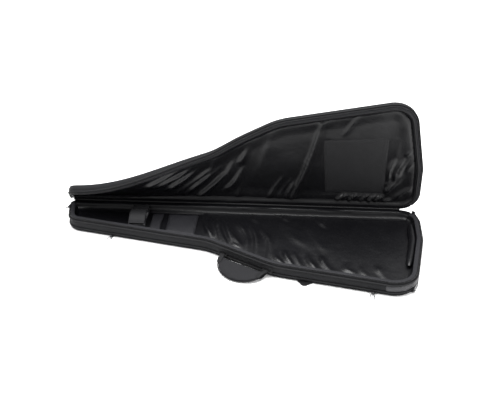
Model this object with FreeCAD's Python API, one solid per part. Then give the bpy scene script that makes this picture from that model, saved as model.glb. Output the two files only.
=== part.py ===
import FreeCAD, Part
import math
import os

V = FreeCAD.Vector

# Padded gig bag lying open on its back, lid standing on its long straight side. Millimetres.
# Plan positions are (x, w): x from the neck end to the body end, w from the hinge line to the free side.
LENGTH = 1186.0
HINGE_Y = 195.0
HINGE_Z = 50.0
RIM_Z = 48.0
LID_ANGLE = 84.0          # angle between the base's rim and the body length of the lid, at rest
NECK_LID_ANGLE = 40.0     # the same for the neck length, which sags forward
LID_SPLIT_X = 300.0
SPLIT_GAP = 1.0
LID_DEPTH = 28.0

OUTLINE = [(4, 0), (1184, 0), (1179, 161), (1129, 412), (707, 327), (498, 210), (26, 112)]
RADII = [20, 60, 90, 76, 240, 180, 48]
HINGE_CORNER = 1
NEAR_CORNER = 3
EDGE_NEAR = 3
EDGE_SHOULDER = 4
EDGE_NECK = 5
EDGE_NECK_END = 6

FABRIC = 2.0
WALL = 16.0
FLOOR_FOAM = 12.0
LINING = 1.5
COVER_T = 2.0
STRAP_GAP = 8.0
TAPE_T = 2.0
TAPE_W = 13.0
COIL_W = 3.0
COIL_T = 1.5
PIPING_R = 2.2
HINGE_KEEP = 14.0

BACK_Z = COVER_T + STRAP_GAP
FOAM_Z = BACK_Z + FABRIC
FLOOR_Z = FOAM_Z + FLOOR_FOAM
CAVITY_Z = FLOOR_Z + LINING
TAPE_Z = RIM_Z - TAPE_T
LID_RIM = 2 * HINGE_Z - RIM_Z
LID_TOP = HINGE_Z + LID_DEPTH + 2.0

BLOCK_TOP = 44.0
STRAP_X0 = 226.0
STRAP_X1 = 280.0
STRAP_MID_W = 82.0
STRAP_HINGE_W = 41.0
STRAP_HINGE_Z = 47.0

X_MID = LENGTH / 2
NODES = {}


def at(x, w, z):
    return V(x - X_MID, HINGE_Y - w, z)


def corner_arcs():
    """Start, middle, end and centre of the arc that rounds each corner of the outline."""
    arcs = []
    count = len(OUTLINE)
    for i in range(count):
        a = at(*OUTLINE[i - 1], 0)
        b = at(*OUTLINE[i], 0)
        c = at(*OUTLINE[(i + 1) % count], 0)
        u = (a - b).normalize()
        v = (c - b).normalize()
        half = math.acos(u.dot(v)) / 2
        reach = RADII[i] / math.tan(half)
        centre = b + (u + v).normalize() * (RADII[i] / math.sin(half))
        mid = centre + (b - centre).normalize() * RADII[i]
        arcs.append((b + u * reach, mid, b + v * reach, centre))
    return arcs


ARCS = corner_arcs()


def outline_wire(z):
    edges = []
    for i in range(len(ARCS)):
        start, mid, end, centre = ARCS[i]
        nxt = ARCS[(i + 1) % len(ARCS)][0]
        edges.append(Part.Arc(start, mid, end).toShape())
        edges.append(Part.LineSegment(end, nxt).toShape())
    wire = Part.Wire(edges)
    wire.translate(V(0, 0, z))
    return wire


def inset_wire(inset, z):
    wire = outline_wire(z)
    if inset:
        wire = wire.makeOffset2D(-inset)
    return wire


def slab(inset, z0, z1):
    return Part.Face(inset_wire(inset, z0)).extrude(V(0, 0, z1 - z0))


def ring(inset0, inset1, z0, z1):
    return slab(inset0, z0, z1).cut(slab(inset1, z0 - 1, z1 + 1))


def tub(inset, thick, z0, z1, floor_top):
    """Open tray: a wall of the given thickness with a floor; floor_top tells which end the floor is on."""
    body = slab(inset, z0, z1)
    if floor_top:
        return body.cut(slab(inset + thick, z0 - 1, z1 - thick))
    return body.cut(slab(inset + thick, z0 + thick, z1 + 1))


def plan_box(x0, x1, w0, w1, z0, z1):
    return Part.makeBox(x1 - x0, w1 - w0, z1 - z0, at(x0, w1, z0))


def off_hinge(shape):
    """Keep what lies on the free side of the hinge margin."""
    return shape.common(plan_box(-100, LENGTH + 100, HINGE_KEEP, 600, -50, 200))


def piping(z):
    """Round welt that hugs the wall on the outside, along the three free sides."""
    path = inset_wire(-PIPING_R, z)
    start = path.Edges[0].valueAt(path.Edges[0].FirstParameter)
    tangent = path.Edges[0].tangentAt(path.Edges[0].FirstParameter)
    profile = Part.Wire([Part.makeCircle(PIPING_R, start, tangent)])
    return off_hinge(path.makePipeShell([profile], True, True))


def rounded_box(x, y, z, r):
    """Box centred on the origin with its upright edges rounded."""
    box = Part.makeBox(x, y, z, V(-x / 2, -y / 2, -z / 2))
    upright = [e for e in box.Edges if abs(e.tangentAt(e.FirstParameter).z) > 0.99]
    return box.makeFillet(r, upright)


def edge_point(i, along, out, z):
    """Point by an outline side: distance along it from its first corner, distance outside the wall, and height."""
    a = at(*OUTLINE[i], 0)
    b = at(*OUTLINE[(i + 1) % len(OUTLINE)], 0)
    u = (b - a).normalize()
    n = V(u.y, -u.x, 0)
    if n.dot(a + (b - a) * 0.5) < 0:
        n = n * -1
    return a + u * along + n * out + V(0, 0, z), u, n


def stand_off(shape, p, n):
    """Move a shape to a point with its +Y along the outward direction and its +Z kept upright."""
    placed = shape.copy()
    turn = FreeCAD.Rotation(V(0, 0, 1), math.degrees(math.atan2(n.y, n.x)) - 90)
    placed.Placement = FreeCAD.Placement(p, turn).multiply(placed.Placement)
    return placed


def on_edge(shape, i, along, out, z):
    """Place a shape by an outline side, its +Y pointing out of the bag."""
    p, u, n = edge_point(i, along, out, z)
    return stand_off(shape, p, n)


def on_corner(shape, i, degrees, out, z):
    """The same by a rounded corner, at an angle round its arc from where the arc starts."""
    start, mid, end, centre = ARCS[i]
    n = FreeCAD.Rotation(V(0, 0, 1), -degrees).multVec((start - centre).normalize())
    return stand_off(shape, centre + n * (RADII[i] + out) + V(0, 0, z), n)


def keep(name, *shapes):
    NODES.setdefault(name, []).extend(shapes)


# ---------------------------------------------------------------- base half
def build_base():
    keep("base_outer_wall", ring(0, FABRIC, BACK_Z, TAPE_Z))
    keep("base_back_panel", slab(FABRIC, BACK_Z, FOAM_Z))
    keep("base_floor_foam", slab(FABRIC, FOAM_Z, FLOOR_Z))
    keep("base_wall_foam", ring(FABRIC, WALL, FLOOR_Z, TAPE_Z))
    keep("base_lining", tub(WALL, LINING, FLOOR_Z, TAPE_Z, False))
    keep("base_rim_piping", piping(40.0))
    keep("base_bottom_piping", piping(13.5))
    keep("base_zip_tape", off_hinge(ring(COIL_W, COIL_W + TAPE_W, TAPE_Z, RIM_Z)))
    keep("base_zip_coil", off_hinge(ring(0.5, COIL_W, TAPE_Z, RIM_Z + COIL_T)))
    keep("strap_cover_panel", slab(0, 0, COVER_T))
    band = ring(0, FABRIC, COVER_T, BACK_Z)
    keep("strap_zip_tape", band)
    keep("strap_zip_coil", off_hinge(ring(-COIL_T, 0, 4.5, 7.5)))
    welt = Part.makeCylinder(1.8, 1066, at(50, 0, HINGE_Z), V(1, 0, 0))
    welt_tail = plan_box(50, 1116, 0.2, 2.0, TAPE_Z, HINGE_Z)
    keep("hinge_welt", welt.fuse(welt_tail).removeSplitter())


# ---------------------------------------------------------------- straps stowed under the back panel
def build_straps():
    mid = (COVER_T + BACK_Z) / 2
    for w in (100, 205):
        pad = rounded_box(430, 70, 6.0, 30)
        pad.translate(at(930, w, mid))
        keep("backpack_strap_pads", pad)
        tail = rounded_box(130, 25, 2.0, 4)
        tail.translate(at(650, w, mid))
        keep("strap_webbing_tails", tail)
        frame = rounded_box(32, 38, 4.0, 4)
        for dx in (-7.5, 7.5):
            frame = frame.cut(rounded_box(8, 28, 10, 2).translated(V(dx, 0, 0)))
        frame.translate(at(568, w, mid))
        keep("ladder_lock_buckles", frame)


def triangle_tab():
    """Triangular fabric tab, apex outward, in a side's own axes."""
    points = [V(-26, 0, 0), V(26, 0, 0), V(4, 20, 0), V(-4, 20, 0), V(-26, 0, 0)]
    return Part.Face(Part.makePolygon(points)).extrude(V(0, 0, 2.0))


# ---------------------------------------------------------------- fittings inside and outside the base
def build_fittings():
    near_length = (at(*OUTLINE[3], 0) - at(*OUTLINE[4], 0)).Length
    keep("strap_anchor_tabs", on_edge(triangle_tab(), EDGE_NEAR, near_length - 102, 0, 0.4))
    keep("strap_anchor_tabs", on_edge(triangle_tab(), 0, 790, 0, 0.4))

    guard = ring(-1.2, 0, 17, 37)
    keep("corner_guard", guard.common(plan_box(1040, 1300, 330, 600, 0, 100)))

    block = plan_box(222, 284, 34, 130, CAVITY_Z, BLOCK_TOP)
    groove = Part.makeCylinder(28, 100, at(210, STRAP_MID_W, 55), V(1, 0, 0))
    keep("neck_rest_block", block.cut(groove))
    hollow = slab(WALL + LINING + 1.5, CAVITY_Z, 34)
    for x0, x1 in ((292, 336), (345, 456)):
        cushion = hollow.common(plan_box(x0, x1, 44, 200, 0, 100))
        tops = [e for e in cushion.Edges if e.BoundBox.ZMin > 33]
        keep("neck_cushion", cushion.makeFillet(5, tops))

    bumper = slab(WALL + LINING, CAVITY_Z, 45).cut(slab(WALL + LINING + 20, CAVITY_Z - 1, 60))
    keep("end_bumper_pad", bumper.common(plan_box(1100, 1300, 70, 300, 0, 100)))


# ---------------------------------------------------------------- neck strap: flap hinged at the far side of the block


def strap_arch(w0, w1, rise, thick):
    """Strap arching over the neck, as a solid across the strap's width."""
    low = STRAP_HINGE_Z - 1.0
    mid = (w0 + w1) / 2
    inner = [at(STRAP_X0, w0, low), at(STRAP_X0, mid, low + rise), at(STRAP_X0, w1, low)]
    outer = [p + V(0, 0, thick) for p in inner]
    edges = [
        Part.Arc(*inner).toShape(),
        Part.LineSegment(inner[2], outer[2]).toShape(),
        Part.Arc(*outer).toShape(),
        Part.LineSegment(outer[0], inner[0]).toShape(),
    ]
    return Part.Face(Part.Wire(edges)).extrude(V(STRAP_X1 - STRAP_X0, 0, 0))


def build_neck_strap():
    low = STRAP_HINGE_Z - 1.0
    root = plan_box(STRAP_X0, STRAP_X1, STRAP_HINGE_W + 1, STRAP_MID_W - 34, low, low + 2)
    tip = plan_box(STRAP_X0, STRAP_X1, STRAP_MID_W + 34, 129, low, low + 2)
    eye = Part.makeCylinder(2.6, STRAP_X1 - STRAP_X0, at(STRAP_X0, STRAP_HINGE_W, STRAP_HINGE_Z), V(1, 0, 0))
    bore = Part.makeCylinder(1.6, 200, at(150, STRAP_HINGE_W, STRAP_HINGE_Z), V(1, 0, 0))
    arch = strap_arch(STRAP_MID_W - 34, STRAP_MID_W + 34, 12.0, 2.0)
    keep("neck_strap_flap", arch.fuse([root, tip, eye]).cut(bore).removeSplitter())
    keep("neck_strap_hook_patch", plan_box(STRAP_X0 + 4, STRAP_X1 - 4, 117, 128, low - 0.8, low))

    pin = Part.makeCylinder(1.5, 62, at(222, STRAP_HINGE_W, STRAP_HINGE_Z), V(1, 0, 0))
    posts = [plan_box(x, x + 3, STRAP_HINGE_W - 3, STRAP_HINGE_W + 3, BLOCK_TOP, STRAP_HINGE_Z + 2) for x in (222, 281)]
    keep("neck_strap_pin", pin.fuse(posts).removeSplitter())
    keep("neck_strap_loop_patch", plan_box(STRAP_X0 + 2, STRAP_X1 - 2, 114, 129, BLOCK_TOP, BLOCK_TOP + 0.7))


# ---------------------------------------------------------------- carry handle
HANDLE_ALONG = 97.0
HANDLE_SPAN = 82.0
GRIP_OUT = 36.0
HANDLE_OUT = 6.5
HANDLE_Z = 18.0
HANDLE_DROOP = -9.0


def leaf(length, inner, outer, thick):
    """Half-leaf pad: straight edge towards the bag, bulging edge away from it, long edges rounded."""
    half = length / 2
    a = V(-half, -inner, -thick / 2)
    b = V(half, -inner, -thick / 2)
    c = V(half, 2, -thick / 2)
    d = V(-half, 2, -thick / 2)
    low = Part.LineSegment(a, b).toShape()
    high = Part.Arc(c, V(0, outer, -thick / 2), d).toShape()
    wire = Part.Wire([low, Part.LineSegment(b, c).toShape(), high, Part.LineSegment(d, a).toShape()])
    pad = Part.Face(wire).extrude(V(0, 0, thick))
    corners = [e for e in pad.Edges if abs(e.tangentAt(e.FirstParameter).z) > 0.5]
    pad = pad.makeFillet(6, corners)
    flat_edges = [e for e in pad.Edges if abs(e.tangentAt(e.FirstParameter).z) < 0.5]
    return pad.makeFillet(3, flat_edges)


def build_handle():
    grip = leaf(150, 25, 44, 11)
    grip = grip.cut(Part.makeBox(400, 17.2, 2.8, V(-200, -16.6, -1.4)))
    grip.translate(V(0, GRIP_OUT, 0))
    keep_handle("handle_grip_pad", grip)
    webbing = Part.makeBox(166, 16, 2.4, V(-83, GRIP_OUT - 16, -1.2))
    for side in (-1, 1):
        arm = Part.makeBox(9, GRIP_OUT - 3, 2.4, V(side * 80 - 4.5, 3, -1.2))
        hub = Part.makeBox(22, 5, 2.4, V(side * HANDLE_SPAN - 11, 2.5, -1.2))
        eye = Part.makeCylinder(3.2, 22, V(side * HANDLE_SPAN - 11, 0, 0), V(1, 0, 0))
        webbing = webbing.fuse([arm, hub, eye])
    webbing = webbing.cut(Part.makeCylinder(2.1, 240, V(-120, 0, 0), V(1, 0, 0)))
    keep_handle("handle_webbing", webbing.removeSplitter())
    for side in (-1, 1):
        plate = Part.makeBox(34, 2.0, 16.5, V(-17, 0, -1.5))
        rod = Part.makeCylinder(1.9, 30, V(-15, HANDLE_OUT, 0), V(1, 0, 0))
        posts = [Part.makeBox(3, HANDLE_OUT + 1.5, 4, V(x, 0, -1.5)) for x in (-15, 12)]
        tab = plate.fuse([rod] + posts).removeSplitter()
        keep("handle_anchor_tabs", on_edge(tab, EDGE_SHOULDER, HANDLE_ALONG + side * HANDLE_SPAN, 0, HANDLE_Z))


def keep_handle(name, shape):
    turned = shape.copy()
    turned.rotate(V(0, 0, 0), V(1, 0, 0), HANDLE_DROOP)
    keep(name, on_edge(turned, EDGE_SHOULDER, HANDLE_ALONG, HANDLE_OUT, HANDLE_Z))


# ---------------------------------------------------------------- zip sliders and wire pullers
def slider_body(height):
    """Slider seen from outside: rounded plate with a crown that carries the puller."""
    plate = Part.makeBox(12, 3.0, height, V(-6, 0, -height / 2))
    plate = plate.makeFillet(1.2, [e for e in plate.Edges if abs(e.tangentAt(e.FirstParameter).y) > 0.9])
    ears = [Part.makeBox(1.6, 5.2, 4, V(x, 2.0, -2)) for x in (-4.4, 2.8)]
    pin = Part.makeCylinder(0.7, 8.8, V(-4.4, 5.4, 0), V(1, 0, 0))
    return plate.fuse(ears + [pin]).removeSplitter()


def wire_puller(length):
    """Bent wire loop with an eye on the slider's pin; it points along +Y."""
    r = 1.0
    eye = Part.makeCylinder(2.0, 4.4, V(-2.2, 0, 0), V(1, 0, 0))
    neck = Part.makeBox(4.0, 6, 2.0, V(-2.0, 1.0, -1.0))
    rods = [Part.makeCylinder(r, 13, V(-6.5, 7.5, 0), V(1, 0, 0))]
    for side in (-1, 1):
        rods.append(Part.makeCylinder(r, length - 14.5, V(side * 6.5, 7.5, 0), V(0, 1, 0)))
        rods.append(Part.makeSphere(r, V(side * 6.5, 7.5, 0)))
    bend = Part.makeTorus(6.5, r, V(0, length - 7, 0), V(0, 0, 1))
    rods.append(bend.common(Part.makeBox(20, 20, 4, V(-10, length - 7, -2))))
    bore = Part.makeCylinder(1.0, 20, V(-10, 0, 0), V(1, 0, 0))
    return eye.fuse([neck] + rods).cut(bore).removeSplitter()


# name, placing, outline side or corner, place along it, distance outside, height, body height, puller angle and length
SLIDERS = [
    ("main_slider_neck", on_edge, EDGE_NECK_END, 66.0, 0.4, HINGE_Z - 1, 12.0, -20.0, 30.0),
    ("main_slider_body", on_corner, HINGE_CORNER, 48.0, 0.4, HINGE_Z - 1, 12.0, -70.0, 30.0),
    ("strap_slider_neck", on_edge, EDGE_NECK, 332.0, 2.0, 6.0, 9.0, -3.0, 36.0),
    ("strap_slider_near", on_edge, EDGE_NEAR, 121.0, 2.0, 6.0, 9.0, -3.0, 36.0),
    ("strap_slider_end", on_corner, NEAR_CORNER, 30.0, 2.0, 6.0, 9.0, 78.0, 30.0),
]


def build_sliders():
    for name, place, side, along, out, z, height, angle, length in SLIDERS:
        keep(name, place(slider_body(height), side, along, out, z))
        pull = wire_puller(length)
        pull.rotate(V(0, 0, 0), V(1, 0, 0), angle)
        keep(name.replace("slider", "puller"), place(pull, side, along, out + 5.4, z))


# ---------------------------------------------------------------- lid half, drawn closed and then swung open
def lid_pieces():
    pieces = {}
    pieces["outer_panel"] = slab(0, LID_TOP - FABRIC, LID_TOP)
    pieces["side_wall"] = ring(0, FABRIC, LID_RIM + TAPE_T, LID_TOP - FABRIC)
    foam = slab(FABRIC, LID_RIM + TAPE_T, LID_TOP - FABRIC)
    pieces["foam_tray"] = foam.cut(slab(WALL, LID_RIM, LID_TOP - FABRIC - 10))
    pieces["lining"] = tub(WALL, LINING, LID_RIM + TAPE_T, LID_TOP - FABRIC - 10, True)
    pieces["rim_piping"] = piping(2 * HINGE_Z - 40.0)
    pieces["zip_tape"] = off_hinge(ring(COIL_W, COIL_W + TAPE_W, LID_RIM, LID_RIM + TAPE_T))
    pieces["zip_coil"] = off_hinge(ring(0.5, COIL_W, LID_RIM - COIL_T, LID_RIM + TAPE_T))
    return pieces


PATCH = (862, 1066, 50, 262)
POCKET = (690.0, 1080.0, 56.0, 262.0)
POCKET_DEPTH = 12.0
POCKET_SLIDER_X = 770.0


def pocket_pieces():
    x0, x1, w0, w1 = POCKET
    outer = rounded_box(x1 - x0, w1 - w0, POCKET_DEPTH, 30)
    outer.translate(at((x0 + x1) / 2, (w0 + w1) / 2, LID_TOP + POCKET_DEPTH / 2))
    inner = rounded_box(x1 - x0 - 4, w1 - w0 - 4, 40, 28)
    inner.translate(at((x0 + x1) / 2, (w0 + w1) / 2, LID_TOP))
    low = plan_box(0, LENGTH, 0, 600, LID_TOP, LID_TOP + POCKET_DEPTH - 2)
    gusset = outer.cut(inner).common(low)
    zip_slot = plan_box(x0 + 40, x1 - 40, w1 - 3, w1 + 1, LID_TOP + 3, LID_TOP + 8)
    panel = outer.cut(low)
    tape = plan_box(x0 + 40, x1 - 40, w1 - 2, w1, LID_TOP + 3, LID_TOP + 8)
    coil = plan_box(x0 + 42, x1 - 42, w1, w1 + 1.2, LID_TOP + 4.5, LID_TOP + 6.5)
    slider = slider_body(8.0)
    pull = wire_puller(28.0)
    pull.rotate(V(0, 0, 0), V(1, 0, 0), 20.0)
    slider = stand_off(slider, at(POCKET_SLIDER_X, w1 + 1.6, LID_TOP + 5.5), V(0, -1, 0))
    pull = stand_off(pull, at(POCKET_SLIDER_X, w1 + 7.0, LID_TOP + 5.5), V(0, -1, 0))
    return {
        "lid_pocket_gusset": [gusset.cut(zip_slot)],
        "lid_pocket_panel": [panel],
        "lid_pocket_zip": [tape, coil],
        "pocket_slider": [slider],
        "pocket_puller": [pull],
    }


def swing(shape, angle):
    turned = shape.copy()
    turned.rotate(at(0, 0, HINGE_Z), V(-1, 0, 0), angle)
    return turned


def build_lid():
    body_side = plan_box(LID_SPLIT_X + SPLIT_GAP / 2, LENGTH + 50, -50, 600, 0, 200)
    neck_side = plan_box(-50, LID_SPLIT_X - SPLIT_GAP / 2, -50, 600, 0, 200)
    for name, shape in lid_pieces().items():
        keep("lid_" + name, swing(shape.common(body_side), LID_ANGLE))
        keep("lid_neck_" + name, swing(shape.common(neck_side), NECK_LID_ANGLE))
    under = LID_TOP - FABRIC - 10 - LINING
    patch = rounded_box(PATCH[1] - PATCH[0], PATCH[3] - PATCH[2], 1.2, 10)
    patch.translate(at((PATCH[0] + PATCH[1]) / 2, (PATCH[2] + PATCH[3]) / 2, under - 0.6))
    keep("lid_protector_patch", swing(patch, LID_ANGLE))
    for name, shapes in pocket_pieces().items():
        for shape in shapes:
            keep(name, swing(shape, LID_ANGLE))


def main():
    build_base()
    build_straps()
    build_fittings()
    build_neck_strap()
    build_handle()
    build_sliders()
    build_lid()
    os.makedirs("parts", exist_ok=True)
    for name, shapes in NODES.items():
        solids = []
        for shape in shapes:
            solids.extend(shape.Solids)
        result = solids[0] if len(solids) == 1 else Part.makeCompound(solids)
        result.exportStep("parts/" + name + ".step")


main()
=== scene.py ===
import math

import bpy
import numpy as np
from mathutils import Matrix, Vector, noise


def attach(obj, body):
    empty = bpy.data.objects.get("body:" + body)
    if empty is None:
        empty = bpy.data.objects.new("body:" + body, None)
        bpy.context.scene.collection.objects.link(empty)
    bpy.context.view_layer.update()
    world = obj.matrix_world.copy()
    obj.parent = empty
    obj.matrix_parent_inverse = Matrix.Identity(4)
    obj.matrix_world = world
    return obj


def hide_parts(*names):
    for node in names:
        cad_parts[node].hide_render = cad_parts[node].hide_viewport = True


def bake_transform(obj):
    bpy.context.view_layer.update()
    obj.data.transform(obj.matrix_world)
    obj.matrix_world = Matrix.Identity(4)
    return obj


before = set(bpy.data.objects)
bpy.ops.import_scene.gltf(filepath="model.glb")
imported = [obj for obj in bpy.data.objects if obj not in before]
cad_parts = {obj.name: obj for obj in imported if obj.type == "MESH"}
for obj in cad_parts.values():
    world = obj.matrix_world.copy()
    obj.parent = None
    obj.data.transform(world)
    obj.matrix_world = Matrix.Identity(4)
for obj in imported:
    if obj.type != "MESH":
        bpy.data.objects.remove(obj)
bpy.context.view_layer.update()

# ---- plan of the bag, millimetres
# (x, w): x from the neck end, w from the hinge line towards the free side. Same numbers as the CAD outline.
OUTLINE = [(4, 0), (1184, 0), (1179, 161), (1129, 412), (707, 327), (498, 210), (26, 112)]
RADII = [20, 60, 90, 76, 240, 180, 48]
WAIST = 5               # the one corner that can bend inwards
X_MID = 593.0
HINGE_Y = 195.0
HINGE_Z = 50.0
LID_ANGLE = 84.0
NECK_LID_ANGLE = 40.0
TWIST_START_X = 623.0      # the lid follows its body length before this and its neck length after TWIST_END_X
TWIST_END_X = 60.0
PATCH = (862.0, 1066.0, 50.0, 262.0)
POCKET = (690.0, 1080.0, 56.0, 262.0)
INSIDE = np.array([640.0, 160.0])   # a plan point well inside the bag

# carry handle, on the bag's waist side
HANDLE_SIDE = 4         # outline side that carries it
HANDLE_ALONG = 97.0     # middle of the handle along that side
HANDLE_SPAN = 82.0      # middle to each anchor
HANDLE_OUT = 6.5        # pivot rod out from the side
HANDLE_Z = 18.0
HANDLE_DROOP = 9.0      # degrees below level at rest
GRIP_OUT = 36.0

# levels and grids of the slack linings and the zips
FLOOR_LEVEL = 26.0      # base lining over its foam
LID_BACKING = 16.3      # lid lining's backing, above the hinge with the lid closed
BASE_CELL = 6.0
LID_CELL = 5.0
SETTLE_FRAMES = 22
ZIP_LINE = 1.7          # rim zips' teeth, in from the outline
TOOTH_PITCH = 3.0

ALONG = (1.0, 0.0, 0.0)
ACROSS = (0.0, 1.0, 0.0)
UP = (0.0, 0.0, 1.0)


def outline_points(step):
    """Evenly walked outline: positions, outward normals and distance travelled, all in plan millimetres."""
    pts = [np.array(p, float) for p in OUTLINE]
    pos, nor = [], []
    count = len(pts)
    arcs = []
    for i in range(count):
        a, b, c = pts[i - 1], pts[i], pts[(i + 1) % count]
        u = (a - b) / np.linalg.norm(a - b)
        v = (c - b) / np.linalg.norm(c - b)
        half = math.acos(float(u @ v)) / 2
        reach = RADII[i] / math.tan(half)
        bis = (u + v) / np.linalg.norm(u + v)
        centre = b + bis * RADII[i] / math.sin(half)
        arcs.append((b + u * reach, b + v * reach, centre, RADII[i]))
    for i in range(count):
        start, end, centre, r = arcs[i]
        a0 = math.atan2(*(start - centre)[::-1])
        a1 = math.atan2(*(end - centre)[::-1])
        turn = (a1 - a0 + math.pi) % (2 * math.pi) - math.pi
        n = max(3, int(abs(turn) * r / step))
        hollow = i == WAIST and (pts[i] - centre) @ (INSIDE - centre) > 0 and abs(turn) < 0.6
        for k in range(n):
            ang = a0 + turn * k / n
            d = np.array([math.cos(ang), math.sin(ang)])
            pos.append(centre + d * r)
            nor.append(-d if hollow else d)
        nxt = arcs[(i + 1) % count][0]
        length = np.linalg.norm(nxt - end)
        t = (nxt - end) / length
        nn = np.array([t[1], -t[0]])
        n = max(2, int(length / step))
        for k in range(n):
            pos.append(end + t * length * k / n)
            nor.append(nn)
    pos, nor = np.array(pos), np.array(nor)
    seg = np.linalg.norm(np.roll(pos, -1, 0) - pos, axis=1)
    s = np.concatenate([[0], np.cumsum(seg)[:-1]])
    return pos, nor, s


STEP = 5.0
POS, NOR, RUN = outline_points(STEP)


def edge_distance(xw):
    """Distance in from the outline for plan points (positive inside)."""
    xw = np.asarray(xw, float)
    best = np.full(len(xw), 1e9)
    signed = np.zeros(len(xw))
    for k in range(len(POS)):
        d = xw - POS[k]
        q = (d * d).sum(1)
        m = q < best
        best[m] = q[m]
        signed[m] = -(d[m] @ NOR[k])
    return np.where(signed > 0, 1, -1) * np.sqrt(best)


def fbm(x, y, z):
    """Three octaves of noise."""
    total, amp, freq = 0.0, 1.0, 1.0
    for _ in range(3):
        total += amp * noise.noise(Vector((x * freq, y * freq, z * freq)))
        amp *= 0.5
        freq *= 2.03
    return total


def circle(count):
    """Angles evenly round a circle."""
    return np.linspace(0, 2 * math.pi, count + 1)[:-1]


def smooth(t):
    t = np.clip(t, 0, 1)
    return t * t * (3 - 2 * t)


# ---- plan millimetres to the frame's metres
def on_base(p):
    p = np.asarray(p, float)
    return np.stack([p[:, 0] - X_MID, HINGE_Y - p[:, 1], p[:, 2]], 1) / 1000


def on_lid(p):
    """p is (x, w, h), with h above the hinge when the lid is closed. The lid is swung open and twisted."""
    p = np.asarray(p, float)
    share = smooth((TWIST_START_X - p[:, 0]) / (TWIST_START_X - TWIST_END_X))
    ang = np.radians(LID_ANGLE + (NECK_LID_ANGLE - LID_ANGLE) * share)
    c, s = np.cos(ang), np.sin(ang)
    y = HINGE_Y - p[:, 1] * c + p[:, 2] * s
    z = HINGE_Z + p[:, 1] * s + p[:, 2] * c
    return np.stack([p[:, 0] - X_MID, y, z], 1) / 1000


def ride_lid(obj):
    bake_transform(obj)


def add_object(name, data):
    obj = bpy.data.objects.new(name, data)
    bpy.context.scene.collection.objects.link(obj)
    return obj


def new_mesh(name, verts, faces, mat):
    """Smooth mesh object with the given material."""
    mesh = bpy.data.meshes.new(name)
    mesh.from_pydata([tuple(v) for v in verts], [], faces)
    mesh.update()
    obj = add_object(name, mesh)
    mesh.materials.append(mat)
    mesh.polygons.foreach_set("use_smooth", [True] * len(mesh.polygons))
    return obj


def lattice(rows, cols, close_rows=False, close_cols=False):
    """Quads of a grid of points stored row by row. A closed direction joins its last line to its first."""
    quads = []
    for a in range(rows if close_rows else rows - 1):
        b = (a + 1) % rows
        for c in range(cols if close_cols else cols - 1):
            d = (c + 1) % cols
            quads.append((a * cols + c, a * cols + d, b * cols + d, b * cols + c))
    return quads


def turned(faces):
    """The same faces, facing the other way."""
    return [face[::-1] for face in faces]


def same(vector, line):
    """One vector, repeated for every point of a line."""
    return np.tile(np.asarray(vector, float), (len(line), 1))


def sweep(name, profile, place, mat, keep=None, wobble=None, closed=False, flip=False):
    """Carry a profile of (inset, height) points round the outline. keep tells which walk points stay."""
    if keep is None:
        runs = [np.arange(len(POS))]
    else:
        index = np.nonzero(keep(POS))[0]
        breaks = np.nonzero(np.diff(index) > 1)[0]
        runs = np.split(index, breaks + 1)
        if len(runs) > 1 and runs[0][0] == 0 and runs[-1][-1] == len(POS) - 1:
            runs[0] = np.concatenate([runs[-1], runs[0]])
            runs.pop()
    parts = []
    for run in runs:
        verts = []
        for i in run:
            for inset, height in profile:
                dn, dz = wobble(RUN[i], inset, height, POS[i]) if wobble else (0.0, 0.0)
                p = POS[i] - NOR[i] * (inset - dn)
                verts.append((p[0], p[1], height + dz))
        faces = lattice(len(run), len(profile), keep is None, closed)
        parts.append((verts, turned(faces) if flip else faces))
    verts, faces = merge(parts)
    return new_mesh(name, place(verts), faces, mat)


def free_side(p):
    return p[:, 1] > 13.5


def hinge_side(p):
    return p[:, 1] <= 16.0


def grid_region(inset, step):
    """Square grid clipped to the outline: plan points, quads, and distance in from the edge."""
    lo, hi = POS.min(0), POS.max(0)
    xs = np.arange(lo[0], hi[0] + step, step)
    ws = np.arange(lo[1], hi[1] + step, step)
    gx, gw = np.meshgrid(xs, ws, indexing="ij")
    flat = np.stack([gx.ravel(), gw.ravel()], 1)
    dist = edge_distance(flat)
    ok = dist > inset
    ids = -np.ones(len(flat), int)
    quads = []
    nx, nw = gx.shape
    for i in range(nx - 1):
        for j in range(nw - 1):
            q = [i * nw + j, (i + 1) * nw + j, (i + 1) * nw + j + 1, i * nw + j + 1]
            if all(ok[k] for k in q):
                quads.append(q)
    used = sorted({k for q in quads for k in q})
    ids[used] = np.arange(len(used))
    quads = [tuple(int(ids[k]) for k in q) for q in quads]
    return flat[used], quads, dist[used]


def cloth(obj, mass, stiffness, bend):
    """Weightless cloth of the given stiffness."""
    mod = obj.modifiers.new("Cloth", "CLOTH")
    st = mod.settings
    st.quality = 5
    st.mass = mass
    st.tension_stiffness = stiffness
    st.compression_stiffness = stiffness
    st.shear_stiffness = stiffness * 0.5
    st.bending_stiffness = bend
    st.effector_weights.gravity = 0.0
    return mod


def settled(obj, mod, frames):
    """Points of the object once its cloth has run."""
    mod.point_cache.frame_start = 1
    mod.point_cache.frame_end = frames
    scene = bpy.context.scene
    for f in range(1, frames + 1):
        scene.frame_set(f)
    out = coords(evaluated_mesh(obj))
    scene.frame_set(1)
    return out


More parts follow.
